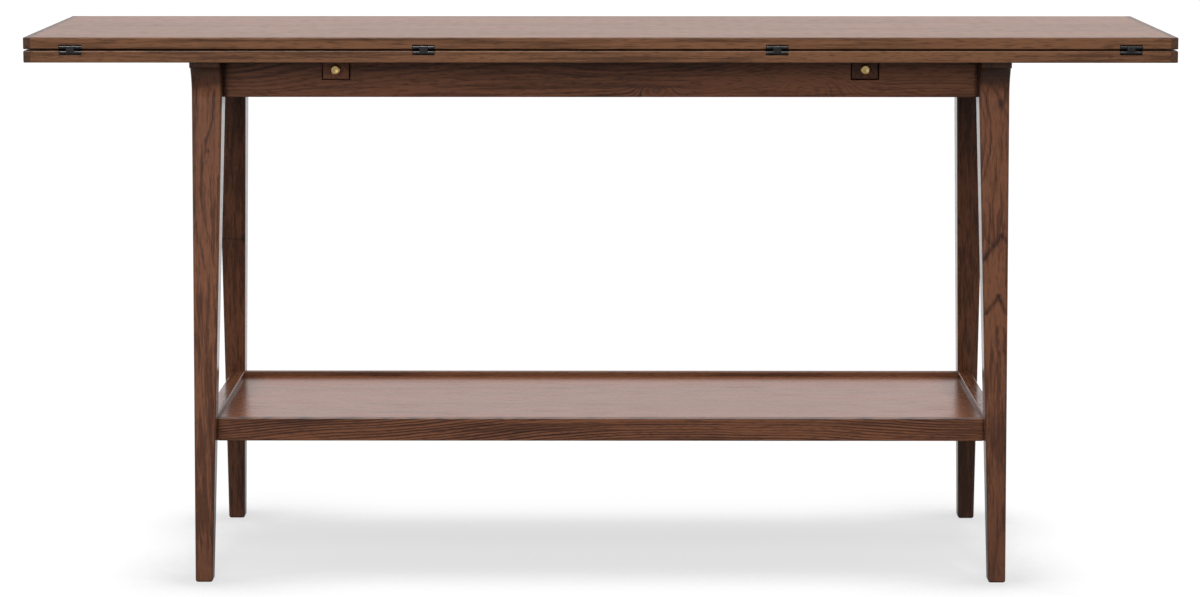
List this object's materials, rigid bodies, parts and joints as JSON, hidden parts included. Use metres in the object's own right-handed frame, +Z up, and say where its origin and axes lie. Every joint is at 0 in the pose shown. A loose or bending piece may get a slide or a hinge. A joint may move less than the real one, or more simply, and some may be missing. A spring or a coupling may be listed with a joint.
{
  "type": "folding console table",
  "caption": "Long dark wood console table with tapered splayed legs and a low shelf; its hinged top leaf flips forward onto pull-out supports to make a dining table.",
  "frame": {"origin": "on the floor under the middle of the closed table", "axes": "+X along the table to the right as seen from the front, +Y to the back, +Z up; the leaf opens to -Y"},
  "size_m": [1.6, 0.467, 0.77],
  "materials": {
    "dark_wood": "satin lacquer",
    "lipping_wood": "satin lacquer",
    "inner_wood": "planed, unfinished",
    "hinge_black": "black oxide",
    "steel": "zinc plated",
    "brass": "polished",
    "felt": "felt dots"
  },
  "bodies": {
    "base": {"front_left_leg": "dark_wood", "front_right_leg": "dark_wood", "rear_left_leg": "dark_wood", "rear_right_leg": "dark_wood", "front_apron": "dark_wood", "rear_apron": "dark_wood", "left_end_apron": "dark_wood", "right_end_apron": "dark_wood", "shelf_panel": "dark_wood", "shelf_front_rail": "dark_wood", "shelf_back_rail": "dark_wood", "shelf_left_end_rail": "dark_wood", "shelf_right_end_rail": "dark_wood", "lower_leaf": "dark_wood", "lower_leaf_left_lipping": "lipping_wood", "lower_leaf_right_lipping": "lipping_wood", "front_left_corner_block": "inner_wood", "front_right_corner_block": "inner_wood", "rear_left_corner_block": "inner_wood", "rear_right_corner_block": "inner_wood", "left_inner_runner": "inner_wood", "left_outer_runner": "inner_wood", "left_front_keeper": "inner_wood", "left_rear_keeper": "inner_wood", "right_inner_runner": "inner_wood", "right_outer_runner": "inner_wood", "right_front_keeper": "inner_wood", "right_rear_keeper": "inner_wood", "left_loper_stop_peg": "inner_wood", "right_loper_stop_peg": "inner_wood", "corner_block_screws": "steel", "top_fixing_screws": "steel", "runner_screws": "steel", "keeper_screws": "steel", "hinge_1_lower_plate": "hinge_black", "hinge_2_lower_plate": "hinge_black", "hinge_3_lower_plate": "hinge_black", "hinge_4_lower_plate": "hinge_black", "lower_hinge_pins": "steel", "lower_hinge_screws": "hinge_black", "leaf_bumpers": "felt"},
    "hinge_links": {"hinge_1_link": "hinge_black", "hinge_2_link": "hinge_black", "hinge_3_link": "hinge_black", "hinge_4_link": "hinge_black"},
    "flip_leaf": {"upper_leaf": "dark_wood", "upper_leaf_left_lipping": "lipping_wood", "upper_leaf_right_lipping": "lipping_wood", "hinge_1_upper_plate": "hinge_black", "hinge_2_upper_plate": "hinge_black", "hinge_3_upper_plate": "hinge_black", "hinge_4_upper_plate": "hinge_black", "upper_hinge_pins": "steel", "upper_hinge_screws": "hinge_black"},
    "left_support": {"left_loper": "dark_wood", "left_knob": "brass"},
    "right_support": {"right_loper": "dark_wood", "right_knob": "brass"}
  },
  "joints": [
    {"name": "link_swing", "type": "hinge", "parent": "base", "child": "hinge_links", "pos_m": [0, -0.222, 0.7487], "axis": [1, 0, 0], "range_deg": [0, 90]},
    {"name": "leaf_flip", "type": "hinge", "parent": "hinge_links", "child": "flip_leaf", "pos_m": [0, -0.222, 0.7561], "axis": [1, 0, 0], "range_deg": [0, 90]},
    {"name": "left_support_slide", "type": "slide", "parent": "base", "child": "left_support", "axis": [0, -1, 0], "range_m": [-0.006, 0.209]},
    {"name": "right_support_slide", "type": "slide", "parent": "base", "child": "right_support", "axis": [0, -1, 0], "range_m": [0, 0.215]}
  ]
}
